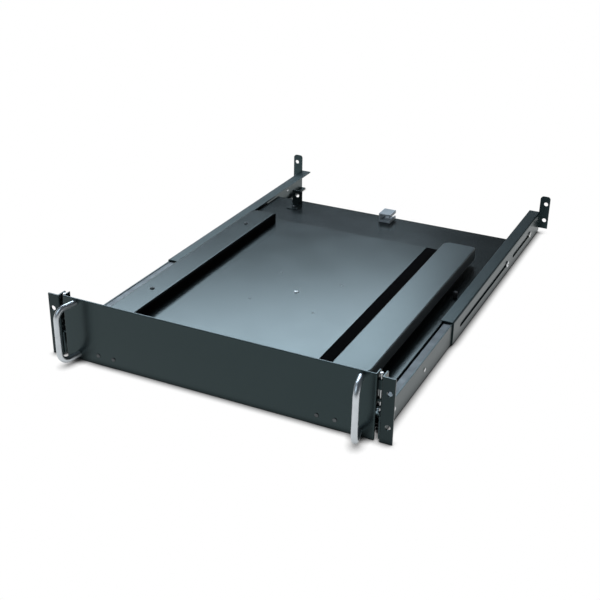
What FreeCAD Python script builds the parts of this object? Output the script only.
"""Swivel keyboard drawer for a 19-inch rack, two units high.

Frame: X to the right, Y to the rear, Z up, millimetres. The origin is the centre of the four front
rack holes, on the plane where the ears' rear faces meet the rack posts.
"""
import FreeCAD, Part
import math
import os

V = FreeCAD.Vector
X_AXIS = V(1, 0, 0)
Y_AXIS = V(0, 1, 0)
Z_AXIS = V(0, 0, 1)
full_turn = 360.0
touching = 1e-6

# Rack standard
rack_unit_height = 44.45
rack_unit_count = 2
panel_relief = 0.8
hole_columns = 465.1
rack_hole_radius = 3.5
rear_hole_spacing = 28.575
rear_low_hole = 22.225

# Rails
ear_margin = 6.45
ear_drop = 1.5
rail_inset = 8.05
ear_return = 13.0
ear_bend = 1.6
bracket_sheet = 2.0
bend_radius = 2.4
rail_depth = 718.0
rear_bracket_start = 258.0
rear_ear_bottom = 8.0
rear_ear_height = 56.0
rear_ear_corner = 5.0
channel_flange = 18.5
channel_lip = 9.0
channel_clearance = 0.8
slot_height = 7.0
front_slot_start = 30.0
front_slot_length = 238.0
slot_bridge = 26.0
rear_slot_length = 108.0
clamp_edge = 7.0

# Slides
slide_axis_height = 18.0
slide_height = 29.0
slide_thickness = 12.7
slide_sheet = 1.2
slide_front = 14.0
slide_length = 540.0
slide_lip = 1.5
outer_flange = 9.5
middle_web_gap = 0.6
middle_flange = 8.6
inner_flange = 7.8
slide_ball_radius = 1.6
ball_play = 0.05
cage_sheet = 0.8
cage_width = 4.0
cage_length = 200.0
cage_start = 170.0
balls_per_strip = 4
slide_rivet_places = (46.0, 150.0)

# Drawer deck
deck_sheet = 1.5
deck_rear = 589.0
deck_skirt = 21.0
deck_bend = 2.0
slide_screw_places = (90.0, 280.0, 470.0)

# Swivel bearing
pivot_y = 237.0
sweep_clearance = 3.2
bearing_radius = 80.0
bearing_hole = 30.0
race_radius = 55.0
race_width = 11.0
race_plate = 1.0
race_play = 0.08
cage_play = 0.4
bearing_ball_radius = 2.5
race_floor = 1.67
bearing_ball_count = 12
bearing_cage_sheet = 1.2
bearing_rivet_circle = 68.0
bearing_rivet_count = 4
bearing_rivet_angle = 45.0
bushing_wall = 1.5
bushing_flange = 2.0
pivot_bolt_radius = 2.0
pivot_play = 0.05
pivot_head_radius = 3.2
pivot_head_height = 1.4
pivot_nut_height = 4.0
pivot_nut_sides = 6
stop_pin_radius = 2.0
stop_pin_circle = 44.0
stop_pin_angle = 200.0
swivel_angle = 90.0
stop_play = 0.3

# Glide buttons under the turned tray
glide_inset = 10.8
front_glide_inset = 40.0
glide_spread = 109.0
glide_radius = 3.2
glide_play = 0.4

# Swivel tray
tray_inset = 20.8
tray_front = 44.0
tray_rear = 470.0
tray_sheet = 1.5
tray_corner = 10.0
tray_swing_corner = 15.0
ledge_width = 39.0
ledge_height = 13.8
ledge_sheet = 1.5
ledge_rear_setback = 12.0
ledge_front_screw = 85.0
ledge_rear_screw = 72.5
palm_width = 49.0
palm_height = 17.0
palm_wall = 2.5
palm_edge = 1.2
palm_corner = 12.0
palm_rear_corner = 6.0
palm_boss_radius = 4.0
palm_boss_inset = 64.0
foam_play = 0.3
ledge_foam = 3.0
gutter_width = 29.0
gutter_foam = 2.0
gutter_inset = 1.5

# Front panel and its hinges
panel_end_gap = 4.0
panel_sheet = 2.0
panel_bend = 1.8
panel_rim = 0.9
panel_foot = 1.0
panel_return = 12.0
panel_return_gap = 1.0
hinge_inset = 61.5
hinge_length = 36.0
hinge_axis_height = 4.0
knuckle_radius = 3.0
knuckle_gap = 0.3
knuckle_front = 1.0
hinge_sheet = 1.5
hinge_leaf = 16.0
hinge_pin_radius = 1.5
hinge_play = 0.05
hinge_rivet_offset = 11.7
hinge_rivet_rise = 9.5

# Handles
handle_inset = 18.9
handle_edge = 7.0
handle_top_edge = 6.5
handle_reach = 30.0
handle_splay = 6.5
handle_radius = 4.0
handle_bend = 14.0
handle_tap = 8.0

# Latch bolts
latch_offset = 2.7
latch_y = 6.0
latch_radius = 2.0
latch_play = 0.1
latch_lift = 1.75
latch_knob_radius = 2.4
latch_knob_height = 5.0
latch_knob_drop = 1.0
guide_spans = ((42.0, 44.5), (51.0, 54.0), (66.5, 79.0))
guide_depth = 7.0
guide_wall = 0.6
keeper_lug = 10.0
keeper_play = 0.4

# Fasteners
screw_radius = 1.5
screw_head_radius = 3.2
screw_head_height = 1.8
rivet_radius = 1.6
rivet_head_radius = 2.8
rivet_head_height = 1.2
clamp_screw_radius = 2.5
clamp_head_radius = 5.0
clamp_head_height = 2.6
thread_play = 0.05
head_bevel = 0.5

# Cable fittings at the deck's rear edge
clip_x = 3.5
clip_width = 20.0
clip_depth = 26.0
clip_height = 14.5
clip_wall = 2.4
clip_mouth = 5.0
bracket_inset = 49.8
bracket_width = 18.0
bracket_foot = 22.0
bracket_rise = 27.0
bracket_setback = 24.0
bracket_hole = 3.5

# Heights and places that follow
base = -rack_unit_count * rack_unit_height / 2
panel_bottom = base + panel_foot
panel_top = -base - panel_relief / 2
ear_bottom = base + panel_relief / 2
ear_top = -ear_bottom - ear_drop
slide_z = base + slide_axis_height
slide_half = slide_height / 2
channel_inner_half = slide_half + channel_clearance
channel_top = slide_z + channel_inner_half + bracket_sheet
channel_bottom = slide_z - channel_inner_half - bracket_sheet
hole_column = hole_columns / 2
ears_over = 2 * (hole_column + ear_margin)
rail_half_width = hole_column - rail_inset
front_web_outer = rail_half_width - bracket_sheet
slide_outer_x = front_web_outer - bracket_sheet
slide_inner_x = slide_outer_x - slide_thickness
web_half = channel_inner_half - thread_play
keeper_top = slide_z + web_half + bracket_sheet
tray_bottom = channel_top + sweep_clearance
tray_top = tray_bottom + tray_sheet
tray_half_width = slide_inner_x - tray_inset
bearing_ball_z = tray_bottom - race_floor - race_play - bearing_ball_radius
deck_top = 2 * bearing_ball_z - tray_bottom
deck_bottom = deck_top - deck_skirt
glide_x = slide_inner_x - glide_inset
front_glide_x = slide_inner_x - front_glide_inset
bracket_x = bracket_inset - slide_inner_x
ball_gap = 2 * (slide_ball_radius + ball_play)
middle_half = slide_half - slide_sheet - ball_gap
inner_half = middle_half - slide_sheet - ball_gap
outer_ball_z = middle_half + ball_gap / 2
inner_ball_z = inner_half + ball_gap / 2
outer_ball_x = slide_outer_x - outer_flange / 2
inner_ball_x = slide_inner_x + slide_thickness / 2 - slide_sheet / 2
hinge_y = knuckle_front + knuckle_radius
hinge_z = base + hinge_axis_height
deck_front = hinge_y + knuckle_radius
panel_half_width = slide_outer_x - panel_end_gap
hinge_x = panel_half_width - hinge_inset
handle_x = panel_half_width - handle_inset
handle_low = panel_bottom + handle_edge
handle_high = panel_top - handle_top_edge
latch_x = panel_half_width + latch_offset
palm_left = tray_half_width - palm_width
ledge_right = ledge_width - tray_half_width
gutter_left = palm_left - gutter_width
slot_front = rear_bracket_start + front_slot_start
clamp_places = (
    slot_front + front_slot_length - slot_height,
    slot_front + front_slot_length + slot_bridge + rear_slot_length - slot_height,
)
front_bracket_end = clamp_places[-1] + clamp_edge


def box(x0, x1, y0, y1, z0, z1):
    """A block between two corners."""
    return Part.makeBox(x1 - x0, y1 - y0, z1 - z0, V(x0, y0, z0))


def about_pivot(radius, angle):
    """A point in plan on a circle round the swivel pivot, at an angle in degrees."""
    turn = math.radians(angle)
    return radius * math.cos(turn), pivot_y + radius * math.sin(turn)


def rod(radius, start, direction, length):
    """A round bar from a start point."""
    return Part.makeCylinder(radius, length, start, direction)


def prism_along_y(points, y0, y1):
    """A section given as (x, z) points, drawn out along Y."""
    corners = [V(x, y0, z) for x, z in points]
    face = Part.Face(Part.makePolygon(corners + corners[:1]))
    return face.extrude(V(0, y1 - y0, 0))


def prism_along_x(points, x0, x1):
    """A section given as (y, z) points, drawn out along X."""
    corners = [V(x0, y, z) for y, z in points]
    face = Part.Face(Part.makePolygon(corners + corners[:1]))
    return face.extrude(V(x1 - x0, 0, 0))


def rounded_block(x0, x1, y0, y1, z0, z1, radii):
    """A block whose upright edges are rounded, radii in the order
    front left, front right, rear right, rear left."""
    block = box(x0, x1, y0, y1, z0, z1)
    places = ((x0, y0), (x1, y0), (x1, y1), (x0, y1))
    for (x, y), radius in zip(places, radii):
        if radius > 0:
            block = block.makeFillet(radius, [upright_edge(block, x, y)])
    return block


def upright_edge(shape, x, y):
    """The vertical edge that stands at a point in plan."""
    def distance(edge):
        middle = edge.CenterOfMass
        start, end = edge.Vertexes[0].Point, edge.Vertexes[-1].Point
        upright = abs(start.x - end.x) + abs(start.y - end.y)
        return abs(middle.x - x) + abs(middle.y - y) + upright
    return min(shape.Edges, key=distance)


def edge_along_y(shape, x, z):
    """The edge along Y that runs through a point in section."""
    def distance(edge):
        middle, bounds = edge.CenterOfMass, edge.BoundBox
        return abs(middle.x - x) + abs(middle.z - z) + bounds.XLength + bounds.ZLength
    return min(shape.Edges, key=distance)


def edges_at_height(shape, z):
    """Every edge that lies flat at one height."""
    def lies_flat(edge):
        bounds = edge.BoundBox
        return abs(bounds.ZMin - z) < touching and abs(bounds.ZMax - z) < touching
    return [edge for edge in shape.Edges if lies_flat(edge)]


def slot_through_x(x0, x1, y0, y1, z, height):
    """A round-ended slot cutter that runs along Y and cuts along X."""
    radius = height / 2
    middle = box(x0, x1, y0 + radius, y1 - radius, z - radius, z + radius)
    ends = [rod(radius, V(x0, y, z), X_AXIS, x1 - x0) for y in (y0 + radius, y1 - radius)]
    return middle.multiFuse(ends)


def headed_pin(seat, direction, shank, length, head, height):
    """A round head standing on its seat, with a shank that runs the other way."""
    top = rod(head, seat, direction, height)
    rim = max(top.Edges, key=lambda edge: edge.CenterOfMass.sub(seat).dot(direction))
    top = top.makeChamfer(head_bevel, [rim])
    return top.fuse(rod(shank, seat, direction.negative(), length)).removeSplitter()


def mirrored(shape):
    """The same piece on the other side of the rack."""
    return shape.mirror(V(0, 0, 0), X_AXIS)


def both_sides(shapes):
    """Right-hand pieces and their left-hand copies, as one group."""
    return Part.makeCompound(shapes + [mirrored(shape) for shape in shapes])


def export(name, shape):
    shape.exportStep(os.path.join("parts", name + ".step"))


def export_pair(name, shape):
    """Writes the right-hand piece and its mirror image."""
    export("right_" + name, shape)
    export("left_" + name, mirrored(shape))


def front_ear():
    """Angle with the rack holes: a plate in front and a leg folded back, welded to the rail."""
    plate = box(front_web_outer, ears_over / 2, -bracket_sheet, 0, ear_bottom, ear_top)
    leg = box(front_web_outer, rail_half_width, -bracket_sheet, ear_return, slide_z - web_half, ear_top)
    ear = plate.fuse(leg).removeSplitter()
    ear = ear.makeFillet(ear_bend, [upright_edge(ear, front_web_outer, -bracket_sheet)])
    for z in (-rack_unit_height / 2, rack_unit_height / 2):
        ear = ear.cut(rod(rack_hole_radius, V(hole_column, -rail_depth, z), Y_AXIS, 2 * rail_depth))
    return ear


def front_bracket():
    """Flat rail that carries the slide, with the keeper lug for the latch bolt."""
    web = box(slide_outer_x, front_web_outer, 0, front_bracket_end, slide_z - web_half, slide_z + web_half)
    lug_end = latch_x - latch_radius - keeper_play - bracket_sheet
    lug = box(lug_end, front_web_outer, latch_y - keeper_lug / 2, latch_y + keeper_lug / 2,
              slide_z + web_half, keeper_top)
    lug = lug.cut(rod(latch_radius + keeper_play, V(latch_x, latch_y, slide_z), Z_AXIS, slide_height))
    bracket = web.fuse(lug)
    for y in slide_rivet_places:
        bracket = bracket.cut(rod(rivet_radius, V(0, y, slide_z), X_AXIS, ears_over))
    for y in clamp_places:
        hole = rod(clamp_screw_radius + thread_play, V(0, y, slide_z), X_AXIS, ears_over)
        bracket = bracket.cut(hole)
    return bracket


def rear_bracket():
    """Channel that slides over the front bracket, with adjusting slots and the rear ear."""
    lip_x = rail_half_width - channel_lip
    flange_x = rail_half_width - channel_flange
    channel = prism_along_y((
        (lip_x, channel_bottom),
        (rail_half_width, channel_bottom),
        (rail_half_width, channel_top),
        (flange_x, channel_top),
        (flange_x, channel_top - bracket_sheet),
        (front_web_outer, channel_top - bracket_sheet),
        (front_web_outer, channel_bottom + bracket_sheet),
        (lip_x, channel_bottom + bracket_sheet),
    ), rear_bracket_start, rail_depth)
    bends = [edge_along_y(channel, rail_half_width, z) for z in (channel_bottom, channel_top)]
    channel = channel.makeFillet(bend_radius, bends)
    ear_foot = base + rear_ear_bottom
    ear = box(front_web_outer, ears_over / 2, rail_depth - bracket_sheet, rail_depth,
              ear_foot, ear_foot + rear_ear_height)
    top_corners = [edge for edge in edges_at_height(ear, ear_foot + rear_ear_height)
                   if edge.BoundBox.XLength < touching]
    ear = ear.makeFillet(rear_ear_corner, top_corners)
    bracket = channel.fuse(ear)
    for rise in (rear_low_hole, rear_low_hole + rear_hole_spacing):
        hole = rod(rack_hole_radius, V(hole_column, 0, base + rise), Y_AXIS, 2 * rail_depth)
        bracket = bracket.cut(hole)
    slot_end = slot_front + front_slot_length
    rear_slot = slot_end + slot_bridge
    for start, end in ((slot_front, slot_end), (rear_slot, rear_slot + rear_slot_length)):
        cutter = slot_through_x(front_web_outer - bracket_sheet, rail_half_width + bracket_sheet,
                                start, end, slide_z, slot_height)
        bracket = bracket.cut(cutter)
    return bracket


def clamp_screws():
    """Pan-head screws that lock the two brackets of a rail at one depth."""
    reach = 2 * bracket_sheet + slide_sheet
    pins = [headed_pin(V(rail_half_width, y, slide_z), X_AXIS, clamp_screw_radius, reach,
                       clamp_head_radius, clamp_head_height) for y in clamp_places]
    return both_sides(pins)


def slide_rivets():
    """Rivets that hold the fixed slide member on the front bracket."""
    reach = bracket_sheet + slide_sheet
    pins = [headed_pin(V(front_web_outer, y, slide_z), X_AXIS, rivet_radius, reach,
                       rivet_head_radius, rivet_head_height) for y in slide_rivet_places]
    return both_sides(pins)


def slide_section(web_x, flange_x, half):
    """A slide member's section: web, two flanges and the lips that trap the balls."""
    toward = 1 if flange_x > web_x else -1
    web_in = web_x + toward * slide_sheet
    lip_in = flange_x - toward * slide_sheet
    face = half - slide_sheet
    lip_z = face - slide_lip
    upper = [(web_x, half), (flange_x, half), (flange_x, lip_z), (lip_in, lip_z), (lip_in, face),
             (web_in, face)]
    lower = [(x, -z) for x, z in reversed(upper)]
    return [(x, slide_z + z) for x, z in upper + lower]


def slide_outer():
    section = slide_section(slide_outer_x, slide_outer_x - outer_flange, slide_half)
    member = prism_along_y(section, slide_front, slide_front + slide_length)
    for y in slide_rivet_places:
        member = member.cut(rod(rivet_radius, V(slide_inner_x, y, slide_z), X_AXIS, slide_thickness))
    for y in clamp_places:
        hole = rod(clamp_screw_radius + thread_play, V(slide_inner_x, y, slide_z), X_AXIS, slide_thickness)
        member = member.cut(hole)
    return member


def slide_middle():
    web_x = slide_outer_x - slide_sheet - middle_web_gap
    section = slide_section(web_x, web_x - middle_flange, middle_half)
    return prism_along_y(section, slide_front, slide_front + slide_length)


def slide_inner():
    section = slide_section(slide_inner_x, slide_inner_x + inner_flange, inner_half)
    member = prism_along_y(section, slide_front, slide_front + slide_length)
    for y in slide_screw_places:
        hole = rod(screw_radius, V(slide_inner_x, y, slide_z), X_AXIS, slide_thickness)
        member = member.cut(hole)
    return member


def ball_places():
    """Where the balls of one strip stand along the slide."""
    pitch = cage_length / balls_per_strip
    return [cage_start + pitch / 2 + pitch * i for i in range(balls_per_strip)]


def ball_cages(x, ball_z):
    """Perforated strips that space the balls above and below a slide member."""
    strips = []
    for z in (slide_z + ball_z, slide_z - ball_z):
        strip = box(x - cage_width / 2, x + cage_width / 2, cage_start, cage_start + cage_length,
                    z - cage_sheet / 2, z + cage_sheet / 2)
        for y in ball_places():
            pocket = slide_ball_radius + ball_play
            strip = strip.cut(rod(pocket, V(x, y, z - cage_sheet), Z_AXIS, 2 * cage_sheet))
        strips.append(strip)
    return both_sides(strips)


def slide_balls(x, ball_z):
    balls = []
    for z in (slide_z + ball_z, slide_z - ball_z):
        for y in ball_places():
            balls.append(Part.makeSphere(slide_ball_radius, V(x, y, z)))
    return both_sides(balls)


def drawer_deck():
    """Shallow inverted pan: a flat top with all four edges folded down."""
    pan = box(-slide_inner_x, slide_inner_x, deck_front, deck_rear, deck_bottom, deck_top)
    pan = pan.makeFillet(deck_bend, edges_at_height(pan, deck_top))
    wall = deck_sheet
    hollow = box(wall - slide_inner_x, slide_inner_x - wall, deck_front + wall, deck_rear - wall,
                 deck_bottom - wall, deck_top - wall)
    pan = pan.cut(hollow)
    pan = pan.cut(rod(pivot_bolt_radius + pivot_play + bushing_wall, V(0, pivot_y, deck_bottom),
                      Z_AXIS, deck_skirt))
    for y in slide_screw_places:
        pan = pan.cut(rod(screw_radius, V(-rail_half_width, y, slide_z), X_AXIS, 2 * rail_half_width))
    for x, z in deck_rivet_places():
        pan = pan.cut(rod(rivet_radius, V(x, deck_front, z), Y_AXIS, deck_skirt))
    for x, y in glide_places():
        pan = pan.cut(rod(screw_radius, V(x, y, deck_bottom), Z_AXIS, deck_skirt))
    foot_x, foot_y = cable_foot_screw()
    pan = pan.cut(rod(screw_radius, V(foot_x, foot_y, deck_bottom), Z_AXIS, deck_skirt))
    for x, y in bearing_rivet_places():
        pan = pan.cut(rod(rivet_radius, V(x, y, deck_bottom), Z_AXIS, deck_skirt))
    stop_x, stop_y = stop_pin_place()
    return pan.cut(rod(stop_pin_radius, V(stop_x, stop_y, deck_bottom), Z_AXIS, deck_skirt))


def slide_screws():
    """Screws from inside the deck's skirt into the drawer member of each slide."""
    seat_x = slide_inner_x - deck_sheet
    reach = deck_sheet + slide_sheet
    pins = [headed_pin(V(seat_x, y, slide_z), X_AXIS.negative(), screw_radius, reach,
                       screw_head_radius, screw_head_height) for y in slide_screw_places]
    return both_sides(pins)


def glide_places():
    """The rear pair stands outside the tray at rest, the front pair under it."""
    rows = ((glide_x, pivot_y + glide_spread), (front_glide_x, pivot_y - glide_spread))
    return [(side * x, y) for side in (-1, 1) for x, y in rows]


def tray_glides():
    """Nylon buttons that carry the overhanging ends of the turned tray."""
    rise = tray_bottom - glide_play - deck_top
    return Part.makeCompound([headed_pin(V(x, y, deck_top), Z_AXIS, screw_radius, deck_sheet,
                                         glide_radius, rise) for x, y in glide_places()])


def race_profile(outer_face, toward):
    """Half section of a bearing plate: a thin disc with a raised ring grooved for the balls."""
    face = outer_face + toward * race_plate
    lip = bearing_ball_z - toward * (bearing_cage_sheet / 2 + cage_play)
    inner, outer = race_radius - race_width / 2, race_radius + race_width / 2
    points = [(bearing_hole, outer_face), (bearing_radius, outer_face), (bearing_radius, face),
              (outer, face), (outer, lip), (inner, lip), (inner, face), (bearing_hole, face)]
    corners = [V(r, pivot_y, z) for r, z in points]
    return Part.Face(Part.makePolygon(corners + corners[:1]))


def bearing_plate(outer_face, toward):
    """One race of the swivel bearing, turned about the pivot."""
    plate = race_profile(outer_face, toward).revolve(V(0, pivot_y, 0), Z_AXIS, full_turn)
    groove = Part.makeTorus(race_radius, bearing_ball_radius + race_play, V(0, pivot_y, bearing_ball_z))
    return plate.cut(groove)


def bearing_rivet_places():
    """Rivets of either bearing plate, evenly spaced on one circle."""
    step = full_turn / bearing_rivet_count
    angles = [bearing_rivet_angle + step * i for i in range(bearing_rivet_count)]
    return [about_pivot(bearing_rivet_circle, angle) for angle in angles]


def lower_bearing_plate():
    plate = bearing_plate(deck_top, 1)
    for x, y in bearing_rivet_places():
        plate = plate.cut(rod(rivet_radius, V(x, y, base), Z_AXIS, rack_unit_height))
    stop_x, stop_y = stop_pin_place()
    return plate.cut(rod(stop_pin_radius, V(stop_x, stop_y, base), Z_AXIS, rack_unit_height))


def upper_bearing_plate():
    """Upper race, with the quarter-circle slot that runs over the stop pin."""
    plate = bearing_plate(tray_bottom, -1)
    for x, y in bearing_rivet_places():
        plate = plate.cut(rod(rivet_radius, V(x, y, base), Z_AXIS, rack_unit_count * rack_unit_height))
    return plate.cut(stop_slot())


def stop_pin_place():
    return about_pivot(stop_pin_circle, stop_pin_angle)


def stop_slot():
    """Cutter for the stop slot, from the pin's rest place round by the swivel angle."""
    width = stop_pin_radius + stop_play
    foot = V(0, pivot_y, deck_top)
    ring = Part.makeCylinder(stop_pin_circle + width, rack_unit_height, foot, Z_AXIS, swivel_angle)
    core = Part.makeCylinder(stop_pin_circle - width, rack_unit_height, foot)
    sector = ring.cut(core)
    sector.rotate(V(0, pivot_y, 0), Z_AXIS, stop_pin_angle)
    ends = []
    for turn in (0, swivel_angle):
        x, y = about_pivot(stop_pin_circle, stop_pin_angle + turn)
        ends.append(rod(width, V(x, y, deck_top), Z_AXIS, rack_unit_height))
    return sector.multiFuse(ends)


def stop_pin():
    """Pin pressed into the deck that ends the swivel at both limits."""
    x, y = stop_pin_place()
    bottom = deck_top - deck_sheet
    return rod(stop_pin_radius, V(x, y, bottom), Z_AXIS, tray_bottom - stop_play - bottom)


def deck_bearing_rivets():
    reach = race_plate + deck_sheet
    return Part.makeCompound([headed_pin(V(x, y, deck_top + race_plate), Z_AXIS, rivet_radius, reach,
                                         rivet_head_radius, rivet_head_height)
                              for x, y in bearing_rivet_places()])


def tray_bearing_rivets():
    reach = race_plate + tray_sheet
    return Part.makeCompound([headed_pin(V(x, y, tray_bottom - race_plate), Z_AXIS.negative(), rivet_radius,
                                         reach, rivet_head_radius, rivet_head_height)
                              for x, y in bearing_rivet_places()])


def bearing_ball_places():
    step = full_turn / bearing_ball_count
    return [about_pivot(race_radius, step * i) for i in range(bearing_ball_count)]


def bearing_ball_cage():
    bottom = bearing_ball_z - bearing_cage_sheet / 2
    start = V(0, pivot_y, bottom)
    ring = Part.makeCylinder(race_radius + race_width / 2, bearing_cage_sheet, start)
    ring = ring.cut(Part.makeCylinder(race_radius - race_width / 2, bearing_cage_sheet, start))
    for x, y in bearing_ball_places():
        ring = ring.cut(rod(bearing_ball_radius + race_play, V(x, y, bottom), Z_AXIS, bearing_cage_sheet))
    return ring


def bearing_balls():
    return Part.makeCompound([Part.makeSphere(bearing_ball_radius, V(x, y, bearing_ball_z))
                              for x, y in bearing_ball_places()])


def pivot_bushing():
    """Flanged nylon bush in the deck, running on the pivot bolt."""
    outer = pivot_bolt_radius + pivot_play + bushing_wall
    bottom = deck_top - deck_sheet - bushing_flange
    body = rod(outer, V(0, pivot_y, bottom), Z_AXIS, deck_sheet + 2 * bushing_flange)
    flange = rod(outer + bushing_flange, V(0, pivot_y, deck_top), Z_AXIS, bushing_flange)
    bore = rod(pivot_bolt_radius + pivot_play, V(0, pivot_y, bottom), Z_AXIS, rack_unit_height)
    return body.fuse(flange).cut(bore).removeSplitter()


def pivot_nut_top():
    """The nut runs just below the bush."""
    return deck_top - deck_sheet - bushing_flange - stop_play


def pivot_bolt():
    length = tray_top - pivot_nut_top() + pivot_nut_height
    return headed_pin(V(0, pivot_y, tray_top), Z_AXIS, pivot_bolt_radius, length,
                      pivot_head_radius, pivot_head_height)


def pivot_nut():
    """Hexagon lock nut under the deck."""
    top = pivot_nut_top()
    step = full_turn / pivot_nut_sides
    places = [about_pivot(2 * pivot_bolt_radius, step * i) for i in range(pivot_nut_sides)]
    corners = [V(x, y, top - pivot_nut_height) for x, y in places]
    nut = Part.Face(Part.makePolygon(corners + corners[:1])).extrude(V(0, 0, pivot_nut_height))
    return nut.cut(rod(pivot_bolt_radius, V(0, pivot_y, base), Z_AXIS, rack_unit_height))


def ledge_screw_points():
    x = ledge_right - ledge_width / 2
    return [(x, tray_front + ledge_front_screw), (x, tray_rear - ledge_rear_screw)]


def palm_boss_points():
    x = tray_half_width - palm_width / 2
    front, rear = tray_front + palm_boss_inset, tray_rear - palm_boss_inset
    return [(x, y) for y in (front, (front + rear) / 2, rear)]


def tray_plate():
    """The turning keyboard plate, one flat sheet with rounded corners."""
    radii = (tray_corner, tray_swing_corner, palm_rear_corner, tray_corner)
    plate = rounded_block(-tray_half_width, tray_half_width, tray_front, tray_rear,
                          tray_bottom, tray_top, radii)
    holes = [(0, pivot_y, pivot_bolt_radius)]
    holes += [(x, y, rivet_radius) for x, y in bearing_rivet_places()]
    holes += [(x, y, screw_radius) for x, y in ledge_screw_points()]
    for x, y, radius in holes:
        plate = plate.cut(rod(radius, V(x, y, tray_bottom), Z_AXIS, tray_sheet))
    for x, y in palm_boss_points():
        plate = plate.cut(countersink(x, y))
    return plate


def countersink(x, y):
    """The cone of a flush screw head, as deep as the tray plate."""
    return Part.makeCone(screw_head_radius, screw_radius, tray_sheet, V(x, y, tray_bottom), Z_AXIS)


def keyboard_ledge():
    """Folded ledge behind the keyboard, open below and seated on the plate."""
    left, right = -tray_half_width, ledge_right
    rear = tray_rear - ledge_rear_setback
    radii = (tray_corner, 0, 0, tray_corner)
    shell = rounded_block(left, right, tray_front, rear, tray_top, tray_top + ledge_height, radii)
    shell = shell.makeFillet(ledge_sheet, edges_at_height(shell, tray_top + ledge_height))
    wall = ledge_sheet
    inner_radii = (tray_corner - wall, 0, 0, tray_corner - wall)
    hollow = rounded_block(left + wall, right - wall, tray_front + wall, rear - wall,
                           tray_top - wall, tray_top + ledge_height - wall, inner_radii)
    shell = shell.cut(hollow)
    for x, y in ledge_screw_points():
        shell = shell.cut(rod(screw_radius, V(x, y, tray_top), Z_AXIS, ledge_height))
    return shell


def ledge_screws():
    reach = ledge_height + tray_sheet
    return Part.makeCompound([headed_pin(V(x, y, tray_top + ledge_height), Z_AXIS, screw_radius, reach,
                                         screw_head_radius, screw_head_height)
                              for x, y in ledge_screw_points()])


def palm_rest():
    """Moulded palm rest: a hollow shell with softened edges and screw bosses inside."""
    top = tray_top + palm_height
    radii = (palm_corner, tray_swing_corner, palm_rear_corner, palm_corner)
    shell = rounded_block(palm_left, tray_half_width, tray_front, tray_rear, tray_top, top, radii)
    shell = shell.makeFillet(palm_edge, edges_at_height(shell, top))
    wall = palm_wall
    inner_radii = [radius - wall for radius in radii]
    hollow = rounded_block(palm_left + wall, tray_half_width - wall, tray_front + wall, tray_rear - wall,
                           tray_top - wall, top - wall, inner_radii)
    shell = shell.cut(hollow)
    for x, y in palm_boss_points():
        boss = rod(palm_boss_radius, V(x, y, tray_top), Z_AXIS, palm_height - wall)
        shell = shell.fuse(boss)
        shell = shell.cut(rod(screw_radius, V(x, y, tray_top), Z_AXIS, palm_height - 2 * wall))
    return shell.removeSplitter()


def palm_rest_screws():
    """Countersunk screws, flush under the plate, driven up into the palm rest's bosses."""
    reach = palm_height - 3 * palm_wall
    return Part.makeCompound([countersink(x, y).fuse(rod(screw_radius, V(x, y, tray_top), Z_AXIS, reach))
                              for x, y in palm_boss_points()])


def ledge_bumper():
    """Foam strip on the ledge, against which the keyboard's back edge lies."""
    rear = tray_rear - ledge_rear_setback
    return box(ledge_right, ledge_right + ledge_foam, tray_front + tray_corner, rear,
               tray_top, tray_top + ledge_height - foam_play)


def gutter_strip():
    """Foam strip between the keyboard and the palm rest."""
    return box(gutter_left, palm_left, tray_front + gutter_inset, tray_rear - gutter_inset,
               tray_top, tray_top + gutter_foam)


def front_panel():
    """Folded front: a flat face with a return at each end above the slides."""
    half = panel_half_width
    face = box(-half, half, -panel_sheet, 0, panel_bottom, panel_top)
    side_bottom = tray_top + panel_return_gap
    side = box(half - panel_sheet, half, 0, panel_return, side_bottom, panel_top)
    panel = face.multiFuse([side, mirrored(side)]).removeSplitter()
    panel = panel.makeFillet(panel_bend, [upright_edge(panel, x, -panel_sheet) for x in (-half, half)])
    front_edges = [edge for edge in edges_at_height(panel, panel_top)
                   if edge.BoundBox.YMin < touching - panel_sheet]
    panel = panel.makeFillet(panel_rim, front_edges)
    for x, z in handle_mounts():
        hole = screw_radius + thread_play
        panel = panel.cut(rod(hole, V(x, -panel_sheet, z), Y_AXIS, panel_sheet))
    for x, z in panel_rivet_places():
        panel = panel.cut(rod(rivet_radius, V(x, -panel_sheet, z), Y_AXIS, panel_sheet))
    return panel


def handle_mounts():
    return [(sx * handle_x, z) for sx in (-1, 1) for z in (handle_low, handle_high)]


def handle(side):
    """Bow handle bent from round bar, leaning outward, with a tapped hole in each foot."""
    x, front = side * handle_x, -panel_sheet
    out = V(side * handle_splay, -handle_reach, 0)
    legs = out.Length
    out.normalize()

    def along(distance, z):
        return V(x, front, z) + out * distance

    low, high = handle_low, handle_high
    r = handle_bend
    corner = r - r * math.cos(math.pi / 4)
    buried = -handle_radius
    path = Part.Wire([part.toShape() for part in (
        Part.LineSegment(along(buried, low), along(legs - r, low)),
        Part.Arc(along(legs - r, low), along(legs - corner, low + corner), along(legs, low + r)),
        Part.LineSegment(along(legs, low + r), along(legs, high - r)),
        Part.Arc(along(legs, high - r), along(legs - corner, high - corner), along(legs - r, high)),
        Part.LineSegment(along(legs - r, high), along(buried, high)),
    )])
    ring = Part.Wire([Part.Circle(along(buried, low), out, handle_radius).toShape()])
    bow = path.makePipeShell([ring], True, False)
    bow = bow.cut(box(x - legs, x + legs, front, legs, panel_bottom, panel_top))
    for z in (low, high):
        bow = bow.cut(rod(screw_radius + thread_play, V(x, front, z), Y_AXIS.negative(), handle_tap))
    return bow


def handle_screws():
    reach = panel_sheet + handle_tap - screw_radius
    return Part.makeCompound([headed_pin(V(x, 0, z), Y_AXIS, screw_radius, reach,
                                         screw_head_radius, screw_head_height) for x, z in handle_mounts()])


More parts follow.
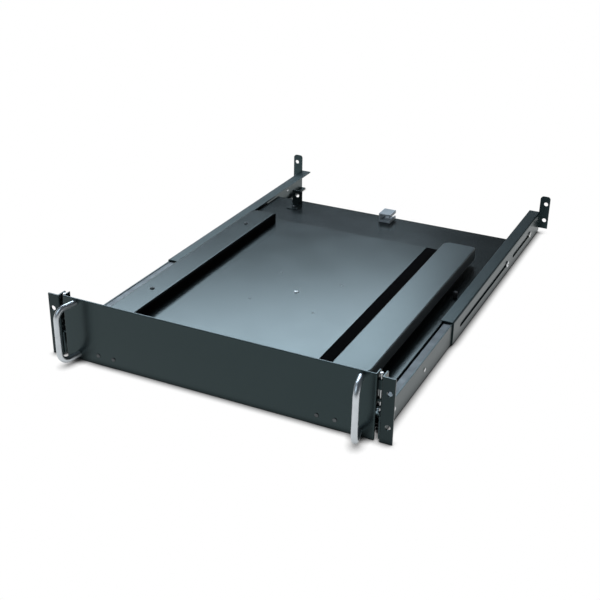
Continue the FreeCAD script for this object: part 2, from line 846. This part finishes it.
def knuckle_spans():
    """Where the knuckles of one hinge lie along X: the middle one turns with the panel."""
    third = hinge_length / 3
    half = hinge_length / 2
    gap = knuckle_gap / 2
    left = (-half, -half + third - gap)
    middle = (-half + third + gap, half - third - gap)
    right = (half - third + gap, half)
    return left, middle, right


def knuckle(center_x, span, bore):
    start, end = span
    tube = rod(knuckle_radius, V(center_x + start, hinge_y, hinge_z), X_AXIS, end - start)
    return tube.cut(rod(bore, V(center_x + start, hinge_y, hinge_z), X_AXIS, end - start))


def hinge_rivet_columns():
    """Two rivets per leaf, on both hinges."""
    offsets = (-hinge_rivet_offset, hinge_rivet_offset)
    return [side * hinge_x + offset for side in (-1, 1) for offset in offsets]


def panel_rivet_places():
    return [(x, hinge_z + hinge_rivet_rise) for x in hinge_rivet_columns()]


def deck_rivet_places():
    z = (deck_bottom + hinge_z + knuckle_radius + hinge_leaf) / 2
    return [(x, z) for x in hinge_rivet_columns()]


def fixed_hinge_leaf(center_x):
    """Leaf on the deck's front skirt, with the two outer knuckles."""
    left, middle, right = knuckle_spans()
    half = hinge_length / 2
    top = hinge_z + knuckle_radius + hinge_leaf
    leaf = box(center_x - half, center_x + half, deck_front - hinge_sheet, deck_front,
               hinge_z + knuckle_radius + knuckle_gap, top)
    pieces = []
    for start, end in (left, right):
        tail = box(center_x + start, center_x + end, deck_front - hinge_sheet, deck_front, hinge_z, top)
        bore = hinge_pin_radius + hinge_play
        tail = tail.cut(rod(bore, V(center_x + start, hinge_y, hinge_z), X_AXIS, end - start))
        pieces += [tail, knuckle(center_x, (start, end), bore)]
    leaf = leaf.multiFuse(pieces).removeSplitter()
    for x, z in deck_rivet_places():
        leaf = leaf.cut(rod(rivet_radius, V(x, 0, z), Y_AXIS, deck_front))
    return leaf


def moving_hinge_leaf(center_x):
    """Leaf on the panel's rear face, with the middle knuckle."""
    start, end = knuckle_spans()[1]
    half = hinge_length / 2
    bottom = hinge_z + knuckle_radius + knuckle_gap
    leaf = box(center_x - half, center_x + half, 0, hinge_sheet, bottom, bottom + hinge_leaf)
    crown = hinge_z + knuckle_radius - hinge_pin_radius / 2
    tail = box(center_x + start, center_x + end, 0, hinge_sheet, hinge_z, bottom)
    wrap = box(center_x + start, center_x + end, 0, hinge_y, hinge_z + hinge_pin_radius, crown)
    tail = tail.cut(rod(hinge_pin_radius, V(center_x + start, hinge_y, hinge_z), X_AXIS, end - start))
    wrap = wrap.cut(rod(hinge_pin_radius, V(center_x + start, hinge_y, hinge_z), X_AXIS, end - start))
    leaf = leaf.multiFuse([tail, wrap, knuckle(center_x, (start, end), hinge_pin_radius)]).removeSplitter()
    for x, z in panel_rivet_places():
        leaf = leaf.cut(rod(rivet_radius, V(x, 0, z), Y_AXIS, hinge_sheet))
    return leaf


def hinge_pins():
    start = hinge_x - hinge_length / 2
    return both_sides([rod(hinge_pin_radius, V(start, hinge_y, hinge_z), X_AXIS, hinge_length)])


def panel_hinge_rivets():
    reach = panel_sheet + hinge_sheet
    return Part.makeCompound([headed_pin(V(x, -panel_sheet, z), Y_AXIS.negative(), rivet_radius, reach,
                                         rivet_head_radius, rivet_head_height)
                              for x, z in panel_rivet_places()])


def deck_hinge_rivets():
    reach = hinge_sheet + deck_sheet
    seat_y = deck_front - hinge_sheet
    return Part.makeCompound([headed_pin(V(x, seat_y, z), Y_AXIS.negative(), rivet_radius, reach,
                                         rivet_head_radius, rivet_head_height)
                              for x, z in deck_rivet_places()])


def latch_guides():
    """Guide blocks on the panel's end return that carry the latch bolt."""
    outer = latch_x + latch_radius + latch_play + guide_wall
    blocks = []
    for low, high in guide_spans:
        block = box(panel_half_width, outer, latch_y - guide_depth / 2, latch_y + guide_depth / 2,
                    base + low, base + high)
        bore = rod(latch_radius + latch_play, V(latch_x, latch_y, base + low), Z_AXIS, high - low)
        blocks.append(block.cut(bore))
    return both_sides(blocks)


def latch_bolt():
    """Round bolt with a knob at the panel's top; pushed down, its foot enters the keeper."""
    foot = keeper_top + latch_lift
    knob_seat = panel_top - latch_knob_drop - latch_knob_height
    return headed_pin(V(latch_x, latch_y, knob_seat), Z_AXIS, latch_radius, knob_seat - foot,
                      latch_knob_radius, latch_knob_height)


def cable_clip():
    """Open plastic clip on the deck's rear edge for the keyboard lead."""
    left, right = clip_x - clip_width / 2, clip_x + clip_width / 2
    bottom, top = deck_top, deck_top + clip_height
    w = clip_wall
    mouth = bottom + clip_height / 2 + clip_mouth / 2
    section = (
        (left, bottom), (right, bottom), (right, mouth - clip_mouth), (right - w, mouth - clip_mouth),
        (right - w, bottom + w), (left + w, bottom + w), (left + w, top - w), (right - w, top - w),
        (right - w, mouth), (right, mouth), (right, top), (left, top),
    )
    return prism_along_y(section, deck_rear - deck_bend - clip_depth, deck_rear - deck_bend)


def cable_foot_screw():
    return bracket_x, deck_rear - bracket_setback - bracket_foot / 2


def cable_bracket():
    """Upright strap with a tie hole, folded from one strip."""
    rear = deck_rear - bracket_setback
    front = rear - bracket_foot
    top = deck_top + bracket_rise
    section = ((front, deck_top), (rear, deck_top), (rear, top), (rear - deck_sheet, top),
               (rear - deck_sheet, deck_top + deck_sheet), (front, deck_top + deck_sheet))
    strap = prism_along_x(section, bracket_x - bracket_width / 2, bracket_x + bracket_width / 2)
    strap = strap.cut(rod(bracket_hole, V(bracket_x, front, top - bracket_width / 2), Y_AXIS, bracket_foot))
    x, y = cable_foot_screw()
    return strap.cut(rod(screw_radius, V(x, y, deck_top), Z_AXIS, deck_sheet))


def cable_bracket_screw():
    x, y = cable_foot_screw()
    return headed_pin(V(x, y, deck_top + deck_sheet), Z_AXIS, screw_radius, 2 * deck_sheet,
                      screw_head_radius, screw_head_height)


def build():
    os.makedirs("parts", exist_ok=True)
    export_pair("front_ear", front_ear())
    export_pair("front_bracket", front_bracket())
    export_pair("rear_bracket", rear_bracket())
    export_pair("slide_outer", slide_outer())
    export_pair("slide_middle", slide_middle())
    export_pair("slide_inner", slide_inner())
    export("rail_clamp_screws", clamp_screws())
    export("slide_rivets", slide_rivets())
    export("outer_ball_cages", ball_cages(outer_ball_x, outer_ball_z))
    export("outer_slide_balls", slide_balls(outer_ball_x, outer_ball_z))
    export("inner_ball_cages", ball_cages(inner_ball_x, inner_ball_z))
    export("inner_slide_balls", slide_balls(inner_ball_x, inner_ball_z))
    export("drawer_deck", drawer_deck())
    export("slide_screws", slide_screws())
    export("tray_glides", tray_glides())
    export("cable_clip", cable_clip())
    export("cable_bracket", cable_bracket())
    export("cable_bracket_screw", cable_bracket_screw())
    export("lower_bearing_plate", lower_bearing_plate())
    export("deck_bearing_rivets", deck_bearing_rivets())
    export("pivot_bushing", pivot_bushing())
    export("swivel_stop_pin", stop_pin())
    export("bearing_ball_cage", bearing_ball_cage())
    export("bearing_balls", bearing_balls())
    export("tray_plate", tray_plate())
    export("upper_bearing_plate", upper_bearing_plate())
    export("tray_bearing_rivets", tray_bearing_rivets())
    export("pivot_bolt", pivot_bolt())
    export("pivot_nut", pivot_nut())
    export("keyboard_ledge", keyboard_ledge())
    export("ledge_screws", ledge_screws())
    export("ledge_bumper", ledge_bumper())
    export("palm_rest", palm_rest())
    export("palm_rest_screws", palm_rest_screws())
    export("gutter_strip", gutter_strip())
    export("front_panel", front_panel())
    export("right_handle", handle(1))
    export("left_handle", handle(-1))
    export("handle_screws", handle_screws())
    export("hinge_fixed_leaves", both_sides([fixed_hinge_leaf(hinge_x)]))
    export("hinge_moving_leaves", both_sides([moving_hinge_leaf(hinge_x)]))
    export("hinge_pins", hinge_pins())
    export("panel_hinge_rivets", panel_hinge_rivets())
    export("deck_hinge_rivets", deck_hinge_rivets())
    export("latch_guides", latch_guides())
    export_pair("latch_bolt", latch_bolt())


build()
